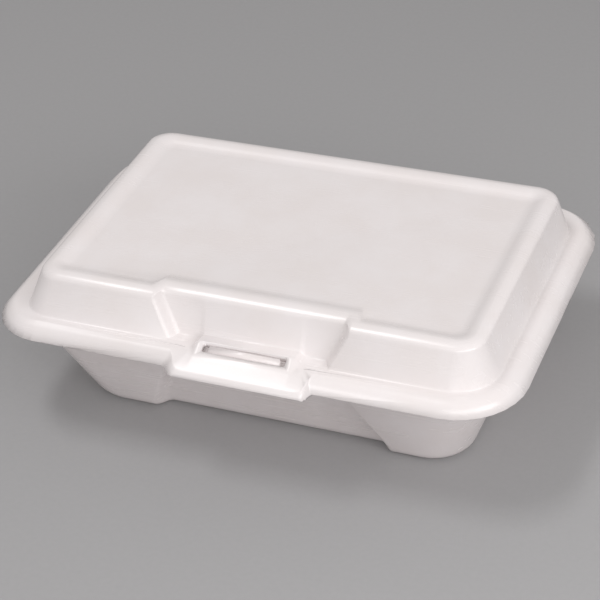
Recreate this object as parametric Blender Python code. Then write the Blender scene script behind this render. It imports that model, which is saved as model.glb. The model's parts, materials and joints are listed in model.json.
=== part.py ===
"""Foam clamshell container: a deep tray and a shallow lid, formed from one sheet of foam.

Both halves are thin shells. Each shell is a loft through rings in plan. A ring mixes four
cross-sections of the sheet: the plain sides, the recessed middle of the front, the slot
ridge inside that middle, and the rear edge with its pressed hinge fold.

X runs along the front, Y runs from the front tab to the hinge, Z is up. The origin is on
the floor, at the middle of the closed container's outline. Lengths are in metres.
"""

import math

import bmesh
import bpy
from mathutils import Vector

# Overall sizes of the closed container
LENGTH = 0.237  # along the front, over the flange
DEPTH = 0.160  # from the hinge fold to the straight parts of the front flange
TAB_REACH = 0.005  # how far the front tab stands out from the flange
HEIGHT = 0.073  # floor to the crest of the lid's bead
RIM_HEIGHT = 0.0515  # top face of the tray's rim
SHEET = 0.0025  # thickness of the formed foam
NEST_GAP = 0.0003  # between the tray's rim and the underside of the lid

# Flange of the lid: a narrow ledge that turns down into a sloping skirt
SKIRT_DROP = 0.0052  # ledge down to the trimmed edge
SKIRT_RUN = 0.0048  # how far the skirt spreads outwards on the way down
SHOULDER_SETBACK = 0.0030  # rounding between ledge and skirt
FLANGE_FRONT_RADIUS = 0.030  # corner radii in plan
FLANGE_REAR_RADIUS = 0.025
FRONT_LEFT_TIGHTER = 0.0055  # the front left corner's radii are this much smaller
REAR_LEFT_WIDER = 0.0070  # the rear left corner's radii are this much larger
LEFT_LEDGE_EXTRA = 0.0020  # the trim leaves the ledge this much wider on the left

# Walls and bead of the lid, as insets from the edge of the flange
WALL_FOOT_INSET = 0.0114
WALL_FOOT_SETBACK = 0.0008
WALL_FOOT_FRONT_RADIUS = 0.018
WALL_FOOT_REAR_RADIUS = 0.014
BEAD_OUTER_INSET = 0.0176
BEAD_OUTER_SETBACK = 0.0040
BEAD_INNER_INSET = 0.0224
BEAD_INNER_SETBACK = 0.0022
BEAD_RADIUS = 0.0100  # corner radius of the bead in plan
BEAD_LEFT_EXTRA = 0.0031  # further inset of bead and panel on the left
BEAD_REAR_REACH = 0.0024  # the bead stands this much nearer to the fold than to other edges
PANEL_INSET = 0.0268
PANEL_RADIUS = 0.0045
PANEL_SETBACK = 0.0020
PANEL_SINK = 0.0024  # top panel below the crest of the bead
PANEL_MARGIN = 0.0040  # outermost part of the flat panel, outside its last ring

# Recess in the middle of the front wall, which leaves a bulge at each corner
RECESS_FOOT_DEPTH = 0.0057
RECESS_BEAD_DEPTH = 0.0050
RECESS_PANEL_DEPTH = 0.0066
RECESS_FOOT_HALF = 0.035  # half length to the middle of the jog
RECESS_BEAD_HALF = 0.0425
RECESS_PANEL_HALF = 0.045
RECESS_JOG = 0.0044  # length over which the wall steps back

# Front tab and the slot ridge that stands on it, both part of the lid
CLOSURE_SHIFT = 0.0022  # recess, tab and slot sit this far to the right of the middle
TAB_EDGE_HALF = 0.0315  # the tab widens from its top towards its trimmed edge
TAB_SHOULDER_HALF = 0.0300
TAB_TOP_HALF = 0.0264
TAB_LEFT_JOG = 0.0064  # the left end is soft, the right end is steep
TAB_RIGHT_JOG = 0.0028
TAB_TOP_JOG = 0.0030
TAB_EDGE_DROP = 0.0056  # ledge down to the tab's trimmed edge
TAB_SHOULDER_RUN = 0.0022
TAB_SHOULDER_DROP = 0.0034
TAB_SHOULDER_SETBACK = 0.0014
TAB_TOP_INSET = 0.0065  # where the tab's slope meets the ledge
TAB_TOP_SETBACK = 0.0015
RIDGE_HALF = 0.0242
RIDGE_END = 0.0028  # length of the ridge's sloping ends
FACET_FOOT_INSET = 0.0043
FACET_FOOT_DROP = 0.0006
FACET_FOOT_SETBACK = 0.0010
RIDGE_LIP_INSET = 0.0102
RIDGE_RISE = 0.0033
RIDGE_LIP_SETBACK = 0.0010
ROOF_BACK_INSET = 0.0172
ROOF_BACK_RISE = 0.0020
ROOF_BACK_SETBACK = 0.0009

# Slot through the ridge, and the tray's tongue that stands in it
SLOT_HALF = 0.0190
SLOT_WIDTH = 0.0040
SLOT_CORNER_RADIUS = 0.0012
SLOT_INSET = 0.0086  # flange edge to the middle of the slot
TONGUE_END_GAP = 0.0030
TONGUE_SIDE_GAP = 0.0006
TONGUE_SINK = 0.0011  # tongue below the outer face of the ridge
TONGUE_ROOT = 0.0010  # how deep the tongue runs into the rim that carries it

# Tray, as insets from the edge of the flange
HEEL_INSET = 0.0291  # where the wall would meet the floor, were it not rounded
HEEL_SETBACK = 0.0058
HEEL_RADIUS = 0.0176  # corner radius in plan
FLOOR_MARGIN = 0.0030
RIM_ROOT_INSET = 0.0109  # where the wall meets the underside of the rim
RIM_ROOT_SETBACK = 0.0014
RIM_ROOT_FRONT_RADIUS = 0.022
RIM_ROOT_REAR_RADIUS = 0.018
RIM_MOUTH_SETBACK = 0.0010
RIM_EDGE_INSET = 0.0058  # outer edge of the rim, inside the lid's skirt
RIM_EDGE_SLANT = 0.0014
RIM_EDGE_SETBACK = 0.0003
RIM_TAB_REACH = 0.0004  # how far the rim reaches out under the tab, past the flange edge
HEEL_RECESS_DEPTH = 0.0053
HEEL_BULGE = 0.0655  # from the end of the flange to the middle of the jog
HEEL_JOG = 0.0070

# Hinge fold along the rear: both halves are pressed thin towards one line
FOLD_INSET = 0.0002  # each half stops this far short of the fold
FOLD_THICKNESS = 0.0008
FOLD_WIDTH = 0.0026  # from the fold to the full thickness of the sheet
FOLD_SETBACK = 0.0008

# Smoothness: points in each part of a ring and in each rounding
JOG_STEPS = 6
RIDGE_END_STEPS = 3
FRONT_CORNER_STEPS = 8
REAR_CORNER_STEPS = 7
SLOT_CORNER_STEPS = 4
LID_ROUNDING_STEPS = (0, 4, 2, 2, 2, 5, 2, 2, 0)  # one for each corner of a section
TRAY_ROUNDING_STEPS = (0, 5, 3, 2, 2, 1, 1, 2, 2, 3, 4, 0)
MOST_ROUNDED_SHARE = 0.45  # of a straight leg that one rounding may use up
LEAST_KEPT_SHARE = 0.25  # of a rounding that stays on the inner side of a tight bend
LEDGE_SHARES = (1 / 3, 2 / 3)  # where the flat ledge has its two inner corners
LEDGE_ROUNDING_SHARE = 0.125
SHARP_DEGREES = 50  # edges steeper than this stay crisp
CUT_OVERRUN = 0.004  # how far a cutter runs past the faces that it cuts

# Skin of the foam
TRAY_COLOUR = (0.72, 0.70, 0.68)
LID_COLOUR = (0.74, 0.72, 0.70)
SKIN_ROUGHNESS = 0.42

# Places that follow from the sizes: the outline's middle is at Y = 0
FRONT = (TAB_REACH + FOLD_INSET - DEPTH) / 2
REAR = FRONT + DEPTH
HEEL_RECESS_HALF = LENGTH / 2 - HEEL_BULGE
LEDGE_TOP = RIM_HEIGHT + NEST_GAP + SHEET
NEST = SHEET + NEST_GAP  # top face of the lid's ledge down to the tray's rim
ZONES = ("side", "middle", "ridge", "rear")
RECESSED_ZONES = ("middle", "ridge")


def clear_scene():
    """Removes what is in the scene, so that the script can be run again."""
    for thing in list(bpy.data.objects):
        bpy.data.objects.remove(thing, do_unlink=True)


def make_foam(name, colour):
    """Pale satin skin of extruded foam."""
    material = bpy.data.materials.new(name)
    material.use_nodes = True
    shader = material.node_tree.nodes["Principled BSDF"]
    shader.inputs["Base Color"].default_value = (*colour, 1.0)
    shader.inputs["Roughness"].default_value = SKIN_ROUGHNESS
    shader.inputs["Metallic"].default_value = 0.0
    material.diffuse_color = (*colour, 1.0)
    return material


def smooth_step(share):
    """0 to 1 with level ends."""
    share = min(max(share, 0.0), 1.0)
    return share * share * (3 - 2 * share)


def turn_normals(corners):
    """The unit normal of each leg, pointing from the outer face into the sheet."""
    normals = []
    for start, end in zip(corners, corners[1:]):
        leg = Vector((end[0] - start[0], end[1] - start[1])).normalized()
        normals.append(Vector((leg.y, -leg.x)))
    return normals


def moved_inwards(corners, distance):
    """A section moved by a distance into the sheet, with its roundings kept concentric."""
    normals = turn_normals(corners)
    moved = []
    for index, (inset, height, setback) in enumerate(corners):
        first = normals[max(index - 1, 0)]
        second = normals[min(index, len(normals) - 1)]
        shift = (first + second) * (distance / (1 + first.dot(second)))
        turn = first.x * second.y - first.y * second.x
        reach = distance * turn / (1 + first.dot(second))
        kept = max(setback + reach, setback * LEAST_KEPT_SHARE)
        moved.append((inset + shift.x, height + shift.y, kept))
    return moved


def rounded(corners, steps):
    """Points along a section: each corner becomes a curve between its two setbacks."""
    points = []
    for index, (inset, height, setback) in enumerate(corners):
        here = Vector((inset, height))
        if not steps[index]:
            points.append(here)
            continue
        before = Vector(corners[index - 1][:2]) - here
        after = Vector(corners[index + 1][:2]) - here
        start = here + before.normalized() * min(setback, before.length * MOST_ROUNDED_SHARE)
        end = here + after.normalized() * min(setback, after.length * MOST_ROUNDED_SHARE)
        for step in range(steps[index] + 1):
            share = step / steps[index]
            points.append(start.lerp(here, share).lerp(here.lerp(end, share), share))
    return points


def flange_corners():
    """Outer face of the lid's flange, from the trimmed edge to the foot of the wall."""
    foot = (WALL_FOOT_INSET, LEDGE_TOP, WALL_FOOT_SETBACK)
    flat_start = SKIRT_RUN + SHOULDER_SETBACK
    flat_length = WALL_FOOT_INSET - WALL_FOOT_SETBACK - flat_start
    ledge_setback = flat_length * LEDGE_ROUNDING_SHARE
    ledge = [(flat_start + flat_length * share, LEDGE_TOP, ledge_setback) for share in LEDGE_SHARES]
    tab = [
        (-TAB_REACH, LEDGE_TOP - TAB_EDGE_DROP, 0),
        (TAB_SHOULDER_RUN - TAB_REACH, LEDGE_TOP - TAB_SHOULDER_DROP, TAB_SHOULDER_SETBACK),
    ]
    middle_foot = WALL_FOOT_INSET + RECESS_FOOT_DEPTH
    return {
        "side": [
            (0, LEDGE_TOP - SKIRT_DROP, 0),
            (SKIRT_RUN, LEDGE_TOP, SHOULDER_SETBACK),
            *ledge,
            foot,
        ],
        "middle": [
            *tab,
            (TAB_TOP_INSET, LEDGE_TOP, TAB_TOP_SETBACK),
            ((TAB_TOP_INSET + middle_foot) / 2, LEDGE_TOP, TAB_TOP_SETBACK),
            (middle_foot, LEDGE_TOP, WALL_FOOT_SETBACK),
        ],
        "ridge": [
            *tab,
            (FACET_FOOT_INSET, LEDGE_TOP - FACET_FOOT_DROP, FACET_FOOT_SETBACK),
            (RIDGE_LIP_INSET, LEDGE_TOP + RIDGE_RISE, RIDGE_LIP_SETBACK),
            (ROOF_BACK_INSET, LEDGE_TOP + ROOF_BACK_RISE, ROOF_BACK_SETBACK),
        ],
        "rear": [
            (FOLD_INSET, RIM_HEIGHT + NEST_GAP + FOLD_THICKNESS, 0),
            (FOLD_WIDTH, LEDGE_TOP, FOLD_SETBACK),
            *ledge,
            foot,
        ],
    }


def dome_corners(zone):
    """Outer face of the lid from its bead to the flat panel on top."""
    bead, panel = 0, 0
    if zone in RECESSED_ZONES:
        bead, panel = RECESS_BEAD_DEPTH, RECESS_PANEL_DEPTH
    if zone == "rear":
        bead, panel = -BEAD_REAR_REACH, -BEAD_REAR_REACH
    top = HEIGHT - PANEL_SINK
    return [
        (BEAD_OUTER_INSET + bead, HEIGHT, BEAD_OUTER_SETBACK),
        (BEAD_INNER_INSET + (bead + panel) / 2, HEIGHT, BEAD_INNER_SETBACK),
        (PANEL_INSET + panel, top, PANEL_SETBACK),
        (PANEL_INSET + PANEL_MARGIN + panel, top, 0),
    ]


def lid_sections():
    """Corner lists of the lid's outer and inner faces, for each zone."""
    flange = flange_corners()
    outer = {zone: flange[zone] + dome_corners(zone) for zone in ZONES}
    inner = {zone: moved_inwards(corners, SHEET) for zone, corners in outer.items()}
    for index, (inset, _, setback) in enumerate(flange["rear"][:-1]):
        inner["rear"][index] = (inset, LEDGE_TOP - SHEET, setback)
    return outer, inner


def tray_sections():
    """Corner lists of the tray for each zone: outer face from floor to rim, then the inner face."""
    slope = (HEEL_INSET - RIM_ROOT_INSET) / (RIM_HEIGHT - SHEET)
    wall_width = SHEET * math.hypot(1, slope)
    mouth_inset = RIM_ROOT_INSET - slope * SHEET + wall_width
    sections = {}
    for zone in ZONES:
        recessed = zone in RECESSED_ZONES
        shift = RECESS_FOOT_DEPTH if recessed else 0
        heel = HEEL_INSET + (HEEL_RECESS_DEPTH if recessed else 0)
        floor_end = heel + HEEL_SETBACK + FLOOR_MARGIN
        top = moved_inwards(flange_corners()[zone], NEST)
        under = moved_inwards(flange_corners()[zone], NEST + SHEET)
        rise = top[4][1] - RIM_HEIGHT if zone == "ridge" else 0
        edge_under, edge_top = rim_edge(zone, top, under)
        sections[zone] = [
            (floor_end, 0, 0),
            (heel, 0, HEEL_SETBACK),
            (RIM_ROOT_INSET + shift - slope * rise, RIM_HEIGHT - SHEET + rise, RIM_ROOT_SETBACK),
            under[3],
            under[2],
            edge_under,
            edge_top,
            top[2],
            top[3],
            (mouth_inset + shift - slope * rise, RIM_HEIGHT + rise, RIM_MOUTH_SETBACK),
            (heel + wall_width - slope * SHEET, SHEET, HEEL_SETBACK - SHEET / 2),
            (floor_end, SHEET, 0),
        ]
    return sections


def rim_edge(zone, top, under):
    """Lower and upper corner of the rim's outer edge."""
    if zone == "side":
        return (
            (RIM_EDGE_INSET, RIM_HEIGHT - SHEET, RIM_EDGE_SETBACK),
            (RIM_EDGE_INSET + RIM_EDGE_SLANT, RIM_HEIGHT, RIM_EDGE_SETBACK),
        )
    if zone == "rear":
        return (
            (FOLD_INSET, RIM_HEIGHT - FOLD_THICKNESS, RIM_EDGE_SETBACK),
            (FOLD_INSET, RIM_HEIGHT, RIM_EDGE_SETBACK),
        )
    return tuple(
        (*point_on_leg(face[1], face[2], -RIM_TAB_REACH), RIM_EDGE_SETBACK) for face in (under, top)
    )


def point_on_leg(start, end, inset):
    """The point of a straight leg at an inset."""
    share = (inset - start[0]) / (end[0] - start[0])
    return inset, start[1] + share * (end[1] - start[1])


def corner_pairs(pairs_for):
    """(inset, radius) pairs of the right corners and of the left ones, front before rear."""
    return [pairs_for(change) for change in ((0, 0), (-FRONT_LEFT_TIGHTER, REAR_LEFT_WIDER))]


def radius_at(inset, pairs):
    """Plan radius at an inset, from (inset, radius) pairs."""
    for (low, low_radius), (high, high_radius) in zip(pairs, pairs[1:]):
        if inset <= high or (high, high_radius) == pairs[-1]:
            share = min(max((inset - low) / (high - low), 0.0), 1.0)
            return low_radius + share * (high_radius - low_radius)


def ring(station):
    """One closed ring of points, from the middle of the front round to the right."""
    side, rear = station["side"], station["rear"]
    half_x = LENGTH / 2 - side[0]
    front_y = FRONT + side[0]
    rear_y = REAR - rear[0]
    halves = []
    for sign, extra, radii in zip((1, -1), (0, station["left_extra"]), station["radii"]):
        front_radius, rear_radius = radii
        points = front_points(station, sign)
        for step in range(FRONT_CORNER_STEPS + 1):
            angle = math.pi / 2 * step / FRONT_CORNER_STEPS
            x = half_x - extra - front_radius * (1 - math.sin(angle))
            y = front_y + front_radius * (1 - math.cos(angle))
            points.append(Vector((sign * x, y, side[1])))
        for step in range(REAR_CORNER_STEPS + 1):
            angle = math.pi / 2 * step / REAR_CORNER_STEPS
            x = half_x - extra - rear_radius * (1 - math.cos(angle))
            y = rear_y - rear_radius * (1 - math.sin(angle))
            share = smooth_step(step / REAR_CORNER_STEPS)
            points.append(Vector((sign * x, y, side[1] + share * (rear[1] - side[1]))))
        halves.append(points)
    right, left = halves
    middle_rear = Vector((0, rear_y, rear[1]))
    return right + [middle_rear] + left[:0:-1]


def front_points(station, sign):
    """Points of one half of the front, from the middle outwards, before the corner."""
    half = station["half"]
    jog = station["jogs"][0 if sign < 0 else 1]
    ridge_start = station["ridge_half"] - RIDGE_END
    places = [(0, 1, 1), (ridge_start / 2, 1, 1)]
    for step in range(RIDGE_END_STEPS + 1):
        share = step / RIDGE_END_STEPS
        places.append((ridge_start + RIDGE_END * share, 1 - smooth_step(share), 1))
    for step in range(JOG_STEPS + 1):
        share = step / JOG_STEPS
        places.append((half + jog * (share - 1 / 2), 0, 1 - smooth_step(share)))
    points = []
    for x, ridge_share, middle_share in places:
        middle = Vector(station["middle"]).lerp(Vector(station["ridge"]), ridge_share)
        inset, height = Vector(station["side"]).lerp(middle, middle_share)
        points.append(Vector((sign * x + CLOSURE_SHIFT, FRONT + inset, height)))
    return points


def stations(sections, steps, halves, jogs, radii, lost, left_extras, ridge_half=RIDGE_HALF):
    """Data of every ring of a face: its place in each zone's section, and its plan sizes."""
    paths = {zone: rounded(corners, steps) for zone, corners in sections.items()}
    owners = [index for index, count in enumerate(steps) for _ in range(count + 1)]
    found = []
    for index, owner in enumerate(owners):
        outer_inset = paths["side"][index].x - lost[owner]
        found.append(
            {
                **{zone: tuple(paths[zone][index]) for zone in ZONES},
                "ridge_half": ridge_half,
                "half": halves[owner],
                "jogs": jogs[owner],
                "left_extra": left_extras[owner],
                "radii": [
                    [radius_at(outer_inset, pairs) - lost[owner] for pairs in side_pairs]
                    for side_pairs in radii
                ],
            }
        )
    return found


def loft(name, rings, material, origin):
    """A closed shell through rings of equal length, capped at both ends."""
    shape = bmesh.new()
    rows = [[shape.verts.new(point - origin) for point in points] for points in rings]
    for row, following in zip(rows, rows[1:]):
        for index, vertex in enumerate(row):
            beside = (index + 1) % len(row)
            shape.faces.new((vertex, row[beside], following[beside], following[index]))
    shape.faces.new(rows[0][::-1])
    shape.faces.new(rows[-1])
    bmesh.ops.recalc_face_normals(shape, faces=shape.faces)
    mesh = bpy.data.meshes.new(name)
    shape.to_mesh(mesh)
    shape.free()
    shell = bpy.data.objects.new(name, mesh)
    shell.location = origin
    bpy.context.collection.objects.link(shell)
    mesh.materials.append(material)
    return shell


def rounded_bar(half_length, half_width, radius):
    """A long plan with rounded corners, about the middle of the slot."""
    middle_y = FRONT + SLOT_INSET
    corners = ((1, -1), (1, 1), (-1, 1), (-1, -1))
    outline = []
    for quarter, (side_x, side_y) in enumerate(corners):
        for step in range(SLOT_CORNER_STEPS + 1):
            angle = math.pi / 2 * (quarter - 1 + step / SLOT_CORNER_STEPS)
            x = side_x * (half_length - radius) + radius * math.cos(angle)
            y = side_y * (half_width - radius) + radius * math.sin(angle)
            outline.append((CLOSURE_SHIFT + x, middle_y + y))
    return outline


def ledge_extras():
    """Further inset on the left at each corner of the flange, up to the wall's foot."""
    return [0, 0, *(LEFT_LEDGE_EXTRA * share for share in LEDGE_SHARES), LEFT_LEDGE_EXTRA]


def closure_widths():
    """Half lengths and (left, right) jogs of the tab at its corners, up to the wall's foot."""
    edge_jogs = (TAB_LEFT_JOG, TAB_RIGHT_JOG)
    top_jogs = (TAB_TOP_JOG, TAB_TOP_JOG)
    foot_jogs = (RECESS_JOG, RECESS_JOG)
    between_jogs = tuple((top + foot) / 2 for top, foot in zip(top_jogs, foot_jogs))
    between_half = (TAB_TOP_HALF + RECESS_FOOT_HALF) / 2
    return (
        [TAB_EDGE_HALF, TAB_SHOULDER_HALF, TAB_TOP_HALF, between_half, RECESS_FOOT_HALF],
        [edge_jogs, edge_jogs, top_jogs, between_jogs, foot_jogs],
    )


def rim_widths():
    """Half length and jogs of the tray's rim edge, which lies on the leg of the tab's slope."""
    halves, jogs = closure_widths()
    start, end = flange_corners()["middle"][1:3]
    share = (-RIM_TAB_REACH - start[0]) / (end[0] - start[0])
    half = halves[1] + share * (halves[2] - halves[1])
    left_right = tuple(low + share * (high - low) for low, high in zip(jogs[1], jogs[2]))
    return half, left_right


def facet_height(y):
    """Height of the ridge's sloping front face at a place in the depth."""
    _, _, foot, lip, *_ = flange_corners()["ridge"]
    return point_on_leg(foot, lip, y - FRONT)[1]


def upright_block(name, outline, bottom, top, material, origin):
    """A block over an outline, with a bottom and a top height for each of its points."""
    rings = [[Vector((x, y, height(y))) for x, y in outline] for height in (bottom, top)]
    return loft(name, rings, material, origin)


def use_boolean(target, other, operation):
    """Joins or cuts with another object, which stays in the scene as a hidden helper."""
    modifier = target.modifiers.new(other.name, "BOOLEAN")
    modifier.object = other
    modifier.operation = operation
    modifier.solver = "EXACT"
    other.hide_render = True
    other.display_type = "WIRE"


def shade(shell):
    """Smooth shading that keeps the trimmed edges crisp."""
    shell.data.shade_smooth()
    shell.data.set_sharp_from_angle(angle=math.radians(SHARP_DEGREES))


def make_lid(material):
    """The lid, whose origin is on the hinge fold."""
    origin = Vector((0, REAR, RIM_HEIGHT + NEST_GAP / 2))
    outer, inner = lid_sections()
    steps = LID_ROUNDING_STEPS
    halves, jogs = closure_widths()
    halves += [RECESS_BEAD_HALF, RECESS_PANEL_HALF, RECESS_PANEL_HALF, RECESS_PANEL_HALF]
    jogs += [jogs[-1]] * 4
    panel = [(PANEL_INSET, PANEL_RADIUS), (LENGTH, PANEL_RADIUS)]
    radii = corner_pairs(
        lambda change: [
            [
                (0, flange + change[end]),
                (WALL_FOOT_INSET, foot + change[end]),
                (BEAD_OUTER_INSET, bead),
                *panel,
            ]
            for end, flange, foot, bead in (
                (0, FLANGE_FRONT_RADIUS, WALL_FOOT_FRONT_RADIUS, BEAD_RADIUS),
                (1, FLANGE_REAR_RADIUS, WALL_FOOT_REAR_RADIUS, BEAD_RADIUS),
            )
        ]
    )
    lost = [within[0] - without[0] for within, without in zip(inner["side"], outer["side"])]
    left = ledge_extras() + [BEAD_LEFT_EXTRA] * 4
    plain = [0] * len(steps)
    outside = [ring(one) for one in stations(outer, steps, halves, jogs, radii, plain, left)]
    inside = [ring(one) for one in stations(inner, steps, halves, jogs, radii, lost, left)]
    lid = loft("lid", inside[::-1] + outside, material, origin)
    cutter = upright_block(
        "slot_cutter",
        rounded_bar(SLOT_HALF, SLOT_WIDTH / 2, SLOT_CORNER_RADIUS),
        lambda y: facet_height(y) - SHEET - CUT_OVERRUN,
        lambda y: facet_height(y) + CUT_OVERRUN,
        material,
        origin,
    )
    use_boolean(lid, cutter, "DIFFERENCE")
    shade(lid)
    return lid


def make_tray(material):
    """The tray, whose front rim carries the tongue."""
    origin = Vector((0, 0, 0))
    sections = tray_sections()
    steps = TRAY_ROUNDING_STEPS
    flange_halves, flange_jogs = closure_widths()
    rim_half, rim_jogs = rim_widths()
    halves = [HEEL_RECESS_HALF] * 2 + flange_halves[:1:-1] + [rim_half]
    halves += halves[::-1]
    jogs = [(HEEL_JOG, HEEL_JOG)] * 2 + flange_jogs[:1:-1] + [rim_jogs]
    jogs += jogs[::-1]
    wall_width = sections["side"][-3][0] - RIM_ROOT_INSET
    lost = [0] * 9 + [wall_width] * 3
    radii = corner_pairs(
        lambda change: [
            [
                (0, flange + change[end]),
                (RIM_ROOT_INSET, root + change[end]),
                (HEEL_INSET, HEEL_RADIUS),
                (LENGTH, HEEL_RADIUS),
            ]
            for end, flange, root in (
                (0, FLANGE_FRONT_RADIUS, RIM_ROOT_FRONT_RADIUS),
                (1, FLANGE_REAR_RADIUS, RIM_ROOT_REAR_RADIUS),
            )
        ]
    )
    left = [LEFT_LEDGE_EXTRA] * 2 + ledge_extras()[:0:-1]
    left += left[::-1]
    hump_half = RIDGE_HALF - 2 * NEST_GAP
    rings = [
        ring(one) for one in stations(sections, steps, halves, jogs, radii, lost, left, hump_half)
    ]
    tray = loft("base_tray", rings, material, origin)
    tongue = upright_block(
        "tongue_block",
        rounded_bar(
            SLOT_HALF - TONGUE_END_GAP,
            SLOT_WIDTH / 2 - TONGUE_SIDE_GAP,
            SLOT_CORNER_RADIUS - TONGUE_SIDE_GAP,
        ),
        lambda y: facet_height(y) - NEST - TONGUE_ROOT,
        lambda y: facet_height(y) - TONGUE_SINK,
        material,
        origin,
    )
    use_boolean(tray, tongue, "UNION")
    shade(tray)
    return tray


def main():
    clear_scene()
    make_tray(make_foam("foam_of_the_tray", TRAY_COLOUR))
    make_lid(make_foam("foam_of_the_lid", LID_COLOUR))


main()
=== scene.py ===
# %% [markdown]
# # Foam clamshell container
# A takeaway container of pale foam, shut, seen from the front and above. The real one is
# one sheet of extruded polystyrene foam. The sheet is warmed until it is soft, pressed
# between two moulds, and trimmed. The tray, the lid and the fold between them are therefore
# one material, and what makes them look real is the form of the sheet and its satin skin.
#
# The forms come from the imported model, the frame. Each step below dresses one part of it.

# %% Load the frame
import json
import math
import bmesh
import bpy
from mathutils import Matrix, Vector, noise


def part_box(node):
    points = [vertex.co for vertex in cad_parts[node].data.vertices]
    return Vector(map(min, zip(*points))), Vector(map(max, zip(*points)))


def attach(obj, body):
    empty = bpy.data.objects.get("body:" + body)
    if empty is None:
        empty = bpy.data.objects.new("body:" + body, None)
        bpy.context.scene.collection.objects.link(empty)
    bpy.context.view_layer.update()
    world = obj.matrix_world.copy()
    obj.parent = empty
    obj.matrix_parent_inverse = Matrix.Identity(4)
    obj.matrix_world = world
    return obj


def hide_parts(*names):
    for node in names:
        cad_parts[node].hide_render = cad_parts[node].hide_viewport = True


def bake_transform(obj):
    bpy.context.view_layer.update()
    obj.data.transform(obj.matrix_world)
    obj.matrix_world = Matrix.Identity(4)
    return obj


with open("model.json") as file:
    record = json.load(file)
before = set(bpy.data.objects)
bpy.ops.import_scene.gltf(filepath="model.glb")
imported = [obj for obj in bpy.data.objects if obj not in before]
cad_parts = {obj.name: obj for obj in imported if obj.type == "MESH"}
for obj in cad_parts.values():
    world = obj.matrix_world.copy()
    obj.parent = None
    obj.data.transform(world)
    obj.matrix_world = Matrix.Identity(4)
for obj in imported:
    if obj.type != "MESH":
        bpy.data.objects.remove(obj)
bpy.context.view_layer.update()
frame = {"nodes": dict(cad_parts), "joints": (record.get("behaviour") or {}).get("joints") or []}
HINGE = next(joint for joint in frame["joints"] if joint["type"] == "hinge")
FOLD_Y, FOLD_Z = HINGE["pos_m"][1], HINGE["pos_m"][2]
print("fold line at y %.1f mm, z %.1f mm" % (FOLD_Y * 1000, FOLD_Z * 1000))

# %% [markdown]
# ## Colours and nodes
# Colours are picked on a screen, where they are sRGB values. The renderer adds up light, so
# it wants linear values. One function does that turn. One more adds a node: its settings,
# the plain values of its sockets and the links into them go in one call, which keeps every
# material below short enough to read. Two small ones start a material and put a thing into
# the scene.

# %% Helpers for colours, nodes and things
def linear(hex_colour):
    """A hex colour as the linear colour that a shader takes."""
    found = []
    for start in (1, 3, 5):
        share = int(hex_colour[start:start + 2], 16) / 255
        found.append(share / 12.92 if share <= 0.04045 else ((share + 0.055) / 1.055) ** 2.4)
    return (*found, 1.0)


def add(tree, kind, settings=(), values=(), links=()):
    """Adds a node with its settings, the values of its sockets and the links into them."""
    node = tree.nodes.new("ShaderNode" + kind)
    for name, setting in dict(settings).items():
        setattr(node, name, setting)
    for socket, value in dict(values).items():
        node.inputs[socket].default_value = value
    for socket, source in dict(links).items():
        tree.links.new(source, node.inputs[socket])
    return node


def start_material(name):
    """A new material, with its node tree and its shader."""
    material = bpy.data.materials.new(name)
    material.use_nodes = True
    return material, material.node_tree, material.node_tree.nodes["Principled BSDF"]


def put(name, data):
    """A new thing of this mesh, lamp or camera, put into the scene."""
    thing = bpy.data.objects.new(name, data)
    bpy.context.scene.collection.objects.link(thing)
    return thing


print("white reads as", [round(part, 3) for part in linear("#FFFFFF")])

# %% [markdown]
# ## Foam with a satin skin
# Extruded polystyrene foam is mostly gas in closed cells of a few tenths of a millimetre.
# Where the sheet leaves the die it cools at once, and its outside becomes a thin closed
# skin. That skin gives the soft, wide highlights of the moulded edges. Under it, the cells
# scatter the light, which makes the foam look slightly deep and hides hard shadows.
#
# Four things are drawn in nodes:
# - a faint warm mottling, because the sheet is never evenly dense;
# - fine draw lines along the direction in which the sheet left the die;
# - the cells that print through the skin. Real ones are about 0.3 mm, too fine to show here,
#   so they are drawn 0.9 mm wide;
# - slow waves of a few centimetres, where the warm sheet shrank unevenly on the mould.

# %% Foam: sizes of its patterns
MILLIMETRE = 0.001
CELL_WIDTH = 0.9 * MILLIMETRE
DRAW_LINE_WIDTH = 4.0 * MILLIMETRE
DRAW_LINE_STRETCH = (0.06, 1.0, 1.0)  # they run along x
MOTTLE_WIDTH = 22 * MILLIMETRE
WAVE_WIDTH = 34 * MILLIMETRE
CELL_RELIEF = 0.012 * MILLIMETRE
WAVE_RELIEF = 0.06 * MILLIMETRE
SATIN_ROUGHNESS = (0.266, 0.276)  # from one draw line to the next
POLYSTYRENE_IOR = 1.59


def per_metre(width):
    """Scale of a pattern whose features are this wide."""
    return 1 / width


print("cells: %.0f to the metre" % per_metre(CELL_WIDTH))

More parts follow.
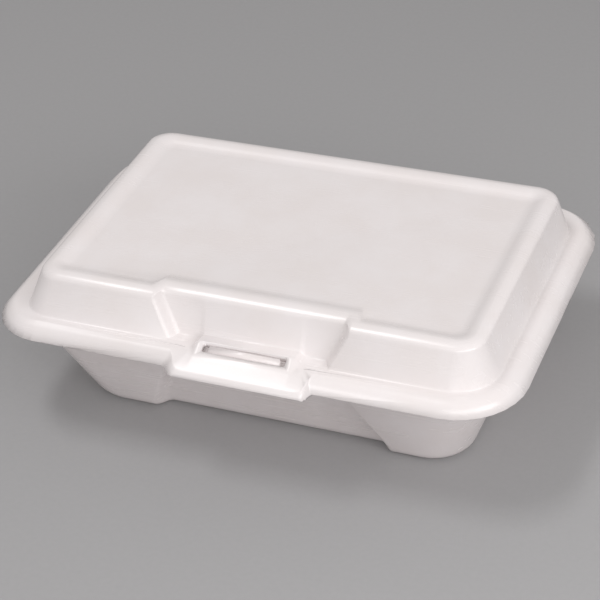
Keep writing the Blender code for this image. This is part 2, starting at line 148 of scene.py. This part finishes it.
# %% Foam: material
def satin_foam(name, pale, warm):
    """Extruded polystyrene foam under its closed satin skin."""
    material, tree, shader = start_material(name)
    place = add(tree, "TexCoord").outputs["Object"]
    mottle = add(
        tree, "TexNoise",
        values={"Scale": per_metre(MOTTLE_WIDTH), "Detail": 3.0, "Roughness": 0.55},
        links={"Vector": place},
    )
    stretched = add(
        tree, "Mapping",
        values={"Scale": DRAW_LINE_STRETCH},
        links={"Vector": place},
    )
    draw_lines = add(
        tree, "TexNoise",
        values={"Scale": per_metre(DRAW_LINE_WIDTH), "Detail": 2.0, "Roughness": 0.5},
        links={"Vector": stretched.outputs["Vector"]},
    )
    cells = add(
        tree, "TexVoronoi",
        settings={"feature": "SMOOTH_F1"},
        values={"Scale": per_metre(CELL_WIDTH), "Randomness": 1.0},
        links={"Vector": place},
    )
    waves = add(
        tree, "TexNoise",
        values={"Scale": per_metre(WAVE_WIDTH), "Detail": 1.0, "Roughness": 0.4},
        links={"Vector": place},
    )
    tone = add(
        tree, "MapRange",
        values={"From Min": 0.35, "From Max": 0.65, "To Min": 0.0, "To Max": 1.0},
        links={"Value": mottle.outputs["Fac"]},
    )
    colour = add(
        tree, "Mix",
        settings={"data_type": "RGBA"},
        values={"A": linear(pale), "B": linear(warm)},
        links={"Factor": tone.outputs["Result"]},
    )
    skin = add(
        tree, "MapRange",
        values={
            "From Min": 0.3, "From Max": 0.7,
            "To Min": SATIN_ROUGHNESS[0], "To Max": SATIN_ROUGHNESS[1],
        },
        links={"Value": draw_lines.outputs["Fac"]},
    )
    wave_bump = add(
        tree, "Bump",
        values={"Strength": 1.0, "Distance": WAVE_RELIEF},
        links={"Height": waves.outputs["Fac"]},
    )
    cell_bump = add(
        tree, "Bump",
        values={"Strength": 1.0, "Distance": CELL_RELIEF},
        links={"Height": cells.outputs["Distance"], "Normal": wave_bump.outputs["Normal"]},
    )
    tree.links.new(colour.outputs[2], shader.inputs["Base Color"])
    tree.links.new(skin.outputs["Result"], shader.inputs["Roughness"])
    tree.links.new(cell_bump.outputs["Normal"], shader.inputs["Normal"])
    shader.inputs["IOR"].default_value = POLYSTYRENE_IOR
    shader.inputs["Specular IOR Level"].default_value = 0.5
    shader.inputs["Metallic"].default_value = 0.0
    return material


tray_foam = satin_foam("extruded_polystyrene_foam_tray", "#ECE5E5", "#E8E0DF")
lid_foam = satin_foam("extruded_polystyrene_foam_lid", "#ECE6E6", "#E9E2E1")
print("materials:", tray_foam.name, lid_foam.name)

# %% [markdown]
# ## The trimmed edge
# After moulding, a steel rule cuts the container out of the sheet. The cut goes through the
# open core of the foam, so it has no skin: it is whiter and rough, and the edge is never
# quite straight, because the blade crushes some cells and tears others. The frame has one
# clean edge there. It is a good place for real geometry, because a torn edge shows against
# the background, where no bump map can help.
#
# First comes the place of a point inside the outline. The outline is a rectangle with four
# rounded corners, each with a radius of its own, so the distance to it has a simple formula.

# %% Distance to the outline
LOW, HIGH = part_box("lid")
HALF_X = HIGH[0]
TAB_REACH = 5 * MILLIMETRE  # the tab stands out from the flange by this
FLANGE_Y = LOW[1] + TAB_REACH
FRONT_CORNERS = (24.5 * MILLIMETRE, 30 * MILLIMETRE)  # radii at the left and the right
REAR_CORNERS = (32 * MILLIMETRE, 25 * MILLIMETRE)


def inside_outline(x, y):
    """Distance from the flange's edge, and the direction straight out of the container."""
    front = y < (FLANGE_Y + FOLD_Y) / 2
    radius = (FRONT_CORNERS if front else REAR_CORNERS)[1 if x > 0 else 0]
    along = abs(x) - (HALF_X - radius)
    across = (FLANGE_Y + radius - y) if front else (y - (FOLD_Y - radius))
    outward_y = -1 if front else 1
    if along > 0 and across > 0:
        reach = math.hypot(along, across)
        return radius - reach, Vector((math.copysign(along, x), outward_y * across, 0)) / reach
    if HALF_X - abs(x) < radius - across:
        return HALF_X - abs(x), Vector((math.copysign(1, x), 0, 0))
    return radius - across, Vector((0, outward_y, 0))


print("flange from y %.1f to %.1f mm" % (FLANGE_Y * 1000, FOLD_Y * 1000))

# %% [markdown]
# Each half is dressed as a copy of its node. The copy's corners are joined, so that light
# runs smoothly over the roundings. Its cut face is sliced into short pieces, and their
# corners are moved a little by a noise that is the same on every run. The move is largest at
# the rear right corner and along the left of the front, where the real edge is torn.

# %% Cut faces
EDGE_STEP = 1.5 * MILLIMETRE  # length of one piece
BELOW_RIM = 40 * MILLIMETRE  # all of the trimmed edge lies above this height
LEAST_OUTWARD, MOST_UPWARD = 0.3, 0.3  # parts of a cut face's normal
EDGE_TEAR = 0.10 * MILLIMETRE
# Where it is torn more: by how much, over how wide a place, and where
REAR_TEAR, REAR_SPREAD = 0.55 * MILLIMETRE, 10 * MILLIMETRE
REAR_PLACE = (112 * MILLIMETRE, 72 * MILLIMETRE)
FRONT_TEAR, FRONT_SPREAD = 0.26 * MILLIMETRE, 28 * MILLIMETRE
FRONT_PLACE = (-80 * MILLIMETRE, FLANGE_Y)
# Widths of the slow waves and of the torn cells, and the share of each in the two moves
SLOW_WIDTH, QUICK_WIDTH = 9 * MILLIMETRE, 1.6 * MILLIMETRE
SLOW_OUT, QUICK_OUT = 0.8, 1.0
SLOW_UP, QUICK_UP = 0.5, 0.8


def cut_faces(shape, limit):
    """Faces of the trimmed edge: near the outline, looking outwards, and not upwards."""
    found = []
    for face in shape.faces:
        places = [inside_outline(corner.co.x, corner.co.y) for corner in face.verts]
        outward = places[0][1]
        near = all(distance < limit for distance, _ in places)
        high = face.calc_center_median().z > BELOW_RIM
        upright = face.normal.dot(outward) > LEAST_OUTWARD and face.normal.z < MOST_UPWARD
        if near and high and upright:
            found.append(face)
    return found


def slice_edge(shape, limit):
    """Cuts the trimmed edge across, all round, into pieces of about one step."""
    for axis, low, high in ((0, -HALF_X, HALF_X), (1, LOW[1], FOLD_Y)):
        for count in range(1, int((high - low) / EDGE_STEP)):
            place, direction = Vector((0, 0, 0)), Vector((0, 0, 0))
            place[axis], direction[axis] = low + count * EDGE_STEP, 1
            crossed = []
            for face in cut_faces(shape, limit):
                first, *_, last = sorted(corner.co[axis] for corner in face.verts)
                if first < place[axis] < last and last - first > EDGE_STEP:
                    crossed.append(face)
            edges = [edge for face in crossed for edge in face.edges]
            corners = [corner for face in crossed for corner in face.verts]
            parts = list(dict.fromkeys(crossed + edges + corners))  # each once, in a fixed order
            if crossed:
                bmesh.ops.bisect_plane(shape, geom=parts, plane_co=place, plane_no=direction)


def torn(x, y):
    """How far the edge is torn at a place, in metres."""
    rear = math.dist((x, y), REAR_PLACE) / REAR_SPREAD
    front = math.dist((x, y), FRONT_PLACE) / FRONT_SPREAD
    return EDGE_TEAR + REAR_TEAR * math.exp(-rear ** 2) + FRONT_TEAR * math.exp(-front ** 2)


def tear_edge(shape, limit):
    """Moves the corners of the trimmed edge by noise: slow waves, and small torn cells."""
    corners = {corner for face in cut_faces(shape, limit) for corner in face.verts}
    for corner in corners:
        place = corner.co.copy()
        strength = torn(place.x, place.y)
        slow = noise.noise(place / SLOW_WIDTH)
        quick = noise.noise(place / QUICK_WIDTH)
        _, outward = inside_outline(place.x, place.y)
        corner.co += outward * strength * (SLOW_OUT * slow + QUICK_OUT * quick)
        corner.co.z += strength * (SLOW_UP * slow + QUICK_UP * quick)
    return len(corners)


print("tear: %.2f mm, and more at two places" % (EDGE_TEAR * 1000))

# %% [markdown]
# ## Softer bends
# Warm foam bridges the tight corners of a mould, so on the real lid the crest of the bead
# and the shoulder of the flange are wide, even curves. They catch the long highlights, and a
# bend that is too tight shows only a thin bright line. The frame's bends are tighter.
#
# A bend can be widened without knowing which part of it a point of the mesh belongs to: the
# tilt of the surface says how far along the bend the point lies. Each point moves from its
# place on the tight bend to the place with the same tilt on the wide one. All places are in
# a section across the bend, as (inwards, upwards) from the corner that the bend rounds.
#
# The shoulder stays as it is on the left side, where the real one is tight, on the tab and
# near the hinge fold. Its moves fade out towards them.
#
# Near the jogs of the front and the ends of the tab, two bends meet, and such moves can push
# one point past the next. The faces there would fold over, so after the moves each face is
# held against the way it faced before, and the corners of a folded one take the mean move
# of their neighbours.

# %% Places on a bend, by tilt
# The frame's bends: the corner, the leg before it and the leg after it, in millimetres
WALL_TO_CREST = (0, 0), (1.256, 3.796), (2.16, 0)
CREST_TO_SLOPE = (4.8, 0), (2.16, 0), (1.93, -1.053)
SKIRT_TO_LEDGE = (0, 0), (2.035, 2.204), (1.77, 0)
WALL_TILT, SLOPE_TILT, SKIRT_TILT = math.radians(71.7), math.radians(-28.6), math.radians(47.3)
# The wide crest: its top, its radius, and the tighter radius from the edge's tilt outwards
CREST, CREST_RADIUS = Vector((4.07, 0)) * MILLIMETRE, 7.0 * MILLIMETRE
EDGE_TILT, EDGE_RADIUS = math.radians(30), 3.3 * MILLIMETRE
# The wide shoulder: its top, its radius, and the tilt at its outer end
SHOULDER, SHOULDER_RADIUS = Vector((4.95, 0)) * MILLIMETRE, 9.0 * MILLIMETRE
SHOULDER_TILT = math.radians(38)


def on_tight_bend(corner, before, after, tilt):
    """Place on the frame's parabolic bend, from the legs before and after its corner."""
    slope = math.tan(tilt)
    first = before[1] - slope * before[0]
    second = slope * after[0] - after[1]
    share = first / (first + second)
    place = Vector(corner) - Vector(before) * (1 - share) ** 2 + Vector(after) * share ** 2
    return place * MILLIMETRE


def on_arc(top, radius, start, tilt):
    """Place on an arc that passes through a place where its tilt is the start."""
    inwards = math.sin(tilt) - math.sin(start)
    return top - radius * Vector((inwards, math.cos(start) - math.cos(tilt)))


def crest_move(tilt):
    """How far a point of the bead's crest moves, inwards and upwards."""
    tilt = min(max(tilt, SLOPE_TILT), WALL_TILT)
    tight = on_tight_bend(*(WALL_TO_CREST if tilt > 0 else CREST_TO_SLOPE), tilt)
    if tilt < EDGE_TILT:
        return on_arc(CREST, CREST_RADIUS, 0, tilt) - tight
    edge = on_arc(CREST, CREST_RADIUS, 0, EDGE_TILT)
    return on_arc(edge, EDGE_RADIUS, EDGE_TILT, tilt) - tight


def shoulder_move(tilt):
    """How far a point of the flange's shoulder moves, inwards and upwards."""
    tilt = min(max(tilt, 0), SKIRT_TILT)
    tight = on_tight_bend(*SKIRT_TO_LEDGE, tilt)
    return on_arc(SHOULDER, SHOULDER_RADIUS, 0, tilt * SHOULDER_TILT / SKIRT_TILT) - tight


for angle in (60, 28, 5):
    move = crest_move(math.radians(angle)) * 1000
    print("crest at tilt %d: %.2f mm inwards, %.2f mm up" % (angle, *move))

# %% Widen the bends of the lid
# Depths below the crest: its level strip, the straight slope behind it, and all of the bead
CREST_Z = HIGH[2]
STRIP_DEPTH, SLOPE_DEPTH, BEAD_DEPTH = (depth * MILLIMETRE for depth in (0.02, 1.2, 4.2))
STRIP_SHIFT, SLOPE_SHIFT = 1.65 * MILLIMETRE, 1.05 * MILLIMETRE
# The shoulder, by its depth below the ledge and its distance from the flange's edge
LEDGE_Z = FOLD_Z + 2.65 * MILLIMETRE
SHOULDER_TOP, SHOULDER_FOOT = -0.1 * MILLIMETRE, 4.9 * MILLIMETRE
SHOULDER_OUTER, SHOULDER_INNER = 0.3 * MILLIMETRE, 7.5 * MILLIMETRE
# The bead's corners turn about the corners of this rectangle, its spine
SPINE_LEFT, SPINE_RIGHT = -87.8 * MILLIMETRE, 90.9 * MILLIMETRE
SPINE_FRONT, SPINE_REAR = -49.8 * MILLIMETRE, 57.4 * MILLIMETRE
# Where the shoulder's moves fade out: beside the tab's two ends, and towards the fold
TAB_LEFT, TAB_RIGHT, TAB_DEPTH = -24.6 * MILLIMETRE, 30.8 * MILLIMETRE, 10 * MILLIMETRE
TAB_SOFT_END, TAB_STEEP_END = 11.6 * MILLIMETRE, 5.1 * MILLIMETRE
FOLD_MARGIN, FOLD_FADE = 8 * MILLIMETRE, 20 * MILLIMETRE
# A normal's least part upwards on the upper skin, and least level part off the flat parts
LEAST_UP, LEAST_LEAN = 0.2, 0.01
FOLDED, ROUNDS = 0.6, 12  # least cosine between a face's old and new normal, and tries


def share_off(place, outward):
    """1 on the plain flange, falling to 0 on the tab, at the hinge fold and on the left side."""
    off_fold = (FOLD_Y - FOLD_MARGIN - place.y) / FOLD_FADE
    off_tab = max((TAB_LEFT - place.x) / TAB_SOFT_END, (place.x - TAB_RIGHT) / TAB_STEEP_END)
    if place.y > FLANGE_Y + TAB_DEPTH:
        off_tab = 1
    off_left = 1 + min(outward.x, 0)
    return min(max(min(off_fold, off_tab), 0), 1) * off_left


def bend_move(place, tilt):
    """How far a point of the lid's upper skin moves, inwards and upwards."""
    below_crest = CREST_Z - place.z
    if below_crest < BEAD_DEPTH:
        if tilt < 0 and below_crest > SLOPE_DEPTH:
            return Vector((SLOPE_SHIFT, 0))
        return crest_move(tilt)
    inset, outward = inside_outline(place.x, place.y)
    in_height = SHOULDER_TOP < LEDGE_Z - place.z < SHOULDER_FOOT
    if in_height and SHOULDER_OUTER < inset < SHOULDER_INNER and tilt > 0:
        return shoulder_move(tilt) * share_off(place, outward)
    return Vector((0, 0))


def even_out(shape, moves):
    """Makes the moves. Where a face would fold over, its corners take their neighbours' mean."""
    start = {corner: corner.co.copy() for corner in shape.verts}
    facing = {face: face.normal.copy() for face in shape.faces}
    for _ in range(ROUNDS):
        for corner, move in moves.items():
            corner.co = start[corner] + move
        shape.normal_update()
        folded = [face for face in shape.faces if face.normal.dot(facing[face]) < FOLDED]
        eased = {}
        for corner in {corner for face in folded for corner in face.verts if corner in moves}:
            beside = [edge.other_vert(corner) for edge in corner.link_edges]
            total = sum((moves.get(other, Vector()) for other in beside), Vector())
            eased[corner] = total / len(beside)
        if not folded:
            break
        moves.update(eased)
    print("faces still folded over:", len(folded))


def widen_bends(shape):
    """Moves the points of the upper skin from the frame's bends to wider ones."""
    shape.normal_update()
    moves = {}
    for corner in shape.verts:
        level = math.hypot(corner.normal.x, corner.normal.y)
        if corner.normal.z < LEAST_UP or level < LEAST_LEAN:
            continue
        place = corner.co
        spine_x = min(max(place.x, SPINE_LEFT), SPINE_RIGHT)
        spine_y = min(max(place.y, SPINE_FRONT), SPINE_REAR)
        from_spine = place - Vector((spine_x, spine_y, place.z))
        outwards = Vector((corner.normal.x, corner.normal.y, 0)) / level
        side = 1 if from_spine.dot(outwards) > 0 else -1
        if CREST_Z - place.z < STRIP_DEPTH and from_spine.length > 0:
            moves[corner] = -from_spine.normalized() * STRIP_SHIFT
            continue
        inwards, upwards = bend_move(place, side * math.atan2(level, corner.normal.z))
        if inwards or upwards:
            moves[corner] = Vector((0, 0, upwards)) - outwards * side * inwards
    even_out(shape, moves)
    return len(moves)


# %% [markdown]
# ## Two dressed halves
# The skin of the sheet and the open core of the cut are two finishes on one piece, so each
# half has two material slots, and the cut faces use the second one.

# %% Open core of the foam, as the cut shows it
CUT_CELL_WIDTH = 0.7 * MILLIMETRE
CUT_CELL_RELIEF = 0.10 * MILLIMETRE


def cut_foam(name):
    """Open cells of extruded polystyrene foam, as a blade leaves them: rough and white."""
    material, tree, shader = start_material(name)
    place = add(tree, "TexCoord").outputs["Object"]
    cells = add(
        tree, "TexVoronoi",
        settings={"feature": "F1"},
        values={"Scale": per_metre(CUT_CELL_WIDTH), "Randomness": 1.0},
        links={"Vector": place},
    )
    colour = add(
        tree, "Mix",
        settings={"data_type": "RGBA"},
        values={"A": linear("#FBF8F7"), "B": linear("#E6DEDD")},
        links={"Factor": cells.outputs["Distance"]},
    )
    bump = add(
        tree, "Bump",
        values={"Strength": 1.0, "Distance": CUT_CELL_RELIEF},
        links={"Height": cells.outputs["Distance"]},
    )
    tree.links.new(colour.outputs[2], shader.inputs["Base Color"])
    tree.links.new(bump.outputs["Normal"], shader.inputs["Normal"])
    shader.inputs["Roughness"].default_value = 0.8
    shader.inputs["IOR"].default_value = POLYSTYRENE_IOR
    return material


cut_core = cut_foam("extruded_polystyrene_foam_cut")
print("material:", cut_core.name)

# %% Dress the two halves
LID_EDGE, TRAY_EDGE = 2.2 * MILLIMETRE, 7.8 * MILLIMETRE  # all of the cut lies as near as this
SHARP = math.radians(48)  # edges sharper than this keep a crisp line


def dress(node_name, piece_name, skin, limit, body):
    """A smooth copy of a formed half, with a torn trimmed edge, that rides on its body."""
    mesh = frame["nodes"][node_name].data.copy()
    shape = bmesh.new()
    shape.from_mesh(mesh)
    bmesh.ops.remove_doubles(shape, verts=shape.verts, dist=MILLIMETRE / 100)
    if node_name == "lid":
        print("widened bends:", widen_bends(shape), "points moved")
    slice_edge(shape, limit)
    moved = tear_edge(shape, limit)
    for face in cut_faces(shape, limit):
        face.material_index = 1
    shape.to_mesh(mesh)
    shape.free()
    mesh.materials.clear()
    mesh.materials.append(skin)
    mesh.materials.append(cut_core)
    piece = put(piece_name, mesh)
    mesh.shade_smooth()
    mesh.set_sharp_from_angle(angle=SHARP)
    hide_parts(node_name)
    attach(piece, body)
    print(piece_name, len(mesh.polygons), "faces,", moved, "edge corners moved")


dress("lid", "formed_lid", lid_foam, LID_EDGE, "lid")
dress("base_tray", "formed_tray", tray_foam, TRAY_EDGE, "tray")

# %% [markdown]
# ## The hinge fold
# Along the rear the sheet is pressed thin and folded. Shut, the fold is a low round ridge
# that joins the two halves; open, it lies flat between them. A strip with a round section is
# the plain way to make it. The strip here keeps its shut shape.

# %% Hinge fold
FOLD_GAP = 1 * MILLIMETRE  # from each end of the strip to the corner beside it
FOLD_LEFT = -HALF_X + REAR_CORNERS[0] + FOLD_GAP
FOLD_RIGHT = HALF_X - REAR_CORNERS[1] - FOLD_GAP
FOLD_RADIUS, FOLD_SHEET, FOLD_INSET = 0.75 * MILLIMETRE, 0.45 * MILLIMETRE, 0.3 * MILLIMETRE
FOLD_WAVE, FOLD_WAVE_LENGTH = 0.06 * MILLIMETRE, 6 * MILLIMETRE
FOLD_TURNS, FOLD_STEPS = 12, 90


def fold_section(radius):
    """Points of a half round, from the tray's side to the lid's side."""
    points = []
    for turn in range(FOLD_TURNS + 1):
        angle = math.pi * (turn / FOLD_TURNS - 0.5)
        y = FOLD_Y - FOLD_INSET + radius * math.cos(angle)
        points.append((y, FOLD_Z + radius * math.sin(angle)))
    return points


fold_shape = bmesh.new()
section = fold_section(FOLD_RADIUS) + fold_section(FOLD_RADIUS - FOLD_SHEET)[::-1]
rows = []
for step in range(FOLD_STEPS + 1):
    x = FOLD_LEFT + (FOLD_RIGHT - FOLD_LEFT) * step / FOLD_STEPS
    wave = FOLD_WAVE * noise.noise(Vector((x / FOLD_WAVE_LENGTH, 0, 0)))
    rows.append([fold_shape.verts.new((x, y + wave, z)) for y, z in section])
for row, following in zip(rows, rows[1:]):
    for index in range(len(section)):
        beside = (index + 1) % len(section)
        fold_shape.faces.new((row[index], row[beside], following[beside], following[index]))
fold_shape.faces.new(rows[0][::-1])
fold_shape.faces.new(rows[-1])
bmesh.ops.recalc_face_normals(fold_shape, faces=fold_shape.faces)
fold_mesh = bpy.data.meshes.new("hinge_fold")
fold_shape.to_mesh(fold_mesh)
fold_shape.free()
fold_mesh.materials.append(lid_foam)
fold_mesh.shade_smooth()
hinge_fold = put("hinge_fold", fold_mesh)
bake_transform(hinge_fold)
print("hinge fold %.0f mm long" % ((FOLD_RIGHT - FOLD_LEFT) * 1000))

# %% [markdown]
# ## Floor and light
# The container stands on a plain grey studio floor, so large that it fills the view by
# itself. A lamp above and to the left gives the long soft highlights on the moulded edges.
# A highlight lies where the surface faces half-way between the lamp and the camera, so this
# lamp's place was chosen for the tilt of 30 degrees at which the bends shine. Two weaker
# lamps near the container, in front and on the right, lift the walls and the floor there,
# and the pale air all round keeps the shadows soft.

# %% Floor
FLOOR_HALF = 2.0
PAPER_GRAIN_WIDTH = 2.5 * MILLIMETRE
floor_mesh = bpy.data.meshes.new("studio_floor")
floor_shape = bmesh.new()
floor_corners = [
    floor_shape.verts.new((x * FLOOR_HALF, y * FLOOR_HALF, 0))
    for x, y in [(-1, -1), (1, -1), (1, 1), (-1, 1)]
]
floor_shape.faces.new(floor_corners)
floor_shape.to_mesh(floor_mesh)
floor_shape.free()
floor = put("studio_floor", floor_mesh)
floor_paper, paper_tree, paper_shader = start_material("matt_grey_paper")
paper_grain = add(
    paper_tree, "TexNoise",
    values={"Scale": per_metre(PAPER_GRAIN_WIDTH), "Detail": 3.0},
    links={"Vector": add(paper_tree, "TexCoord").outputs["Object"]},
)
paper_colour = add(
    paper_tree, "Mix",
    settings={"data_type": "RGBA"},
    values={"A": linear("#A3A2A3"), "B": linear("#A8A7A8")},
    links={"Factor": paper_grain.outputs["Fac"]},
)
paper_tree.links.new(paper_colour.outputs[2], paper_shader.inputs["Base Color"])
paper_shader.inputs["Roughness"].default_value = 0.85
floor_mesh.materials.append(floor_paper)
print("floor %.1f m square" % (2 * FLOOR_HALF))

# %% Lamps
AIM = (0, 0, 0.04)  # all lamps point at the container's middle
AIR_STRENGTH = 0.555


def soft_lamp(name, place, width, depth, power):
    """A rectangular soft box at a place, turned towards the container."""
    lamp = bpy.data.lights.new(name, "AREA")
    lamp.shape = "RECTANGLE"
    lamp.size = width
    lamp.size_y = depth
    lamp.energy = power
    holder = put(name, lamp)
    holder.location = place
    holder.rotation_euler = (Vector(AIM) - Vector(place)).to_track_quat("-Z", "Y").to_euler()


soft_lamp("overhead_soft_box", (-0.43, -0.17, 1.24), width=0.50, depth=0.23, power=3.8)
soft_lamp("front_soft_box", (0.32, -0.66, 0.40), width=0.60, depth=0.40, power=1.75)
soft_lamp("right_soft_box", (0.70, -0.34, 0.42), width=0.40, depth=0.40, power=2.15)
studio = bpy.data.worlds.new("studio_air")
studio.use_nodes = True
air = studio.node_tree.nodes["Background"]
air.inputs["Color"].default_value = linear("#F4F2F1")
air.inputs["Strength"].default_value = AIR_STRENGTH
bpy.context.scene.world = studio
bpy.context.scene.view_settings.view_transform = "Standard"

# %% [markdown]
# ## Camera
# The camera stands a little to the right of the front and looks down by 35 degrees. Its
# place, turn and lens were solved from the straight edges of the flange, the bead and the
# base, so the same edges fall on the same places of the picture.

# %% Camera
AZIMUTH, ELEVATION, ROLL = (math.radians(angle) for angle in (23.667, 34.924, -4.098))
TARGET = Vector((-0.001807, 0.002494, 0.035))
DISTANCE = 0.872
LENS, SENSOR = 116.307, 36.0
back = Vector((
    math.sin(AZIMUTH) * math.cos(ELEVATION),
    -math.cos(AZIMUTH) * math.cos(ELEVATION),
    math.sin(ELEVATION),
))
level_right = Vector((math.cos(AZIMUTH), math.sin(AZIMUTH), 0))
level_up = back.cross(level_right)
right = math.cos(ROLL) * level_right + math.sin(ROLL) * level_up
up = math.cos(ROLL) * level_up - math.sin(ROLL) * level_right
camera_data = bpy.data.cameras.new("camera")
camera_data.lens = LENS
camera_data.sensor_width = SENSOR
camera = put("camera", camera_data)
turn = Matrix((right, up, back)).transposed().to_4x4()
camera.matrix_world = Matrix.Translation(TARGET + back * DISTANCE) @ turn
bpy.context.scene.camera = camera
print("camera %.2f m away" % DISTANCE)
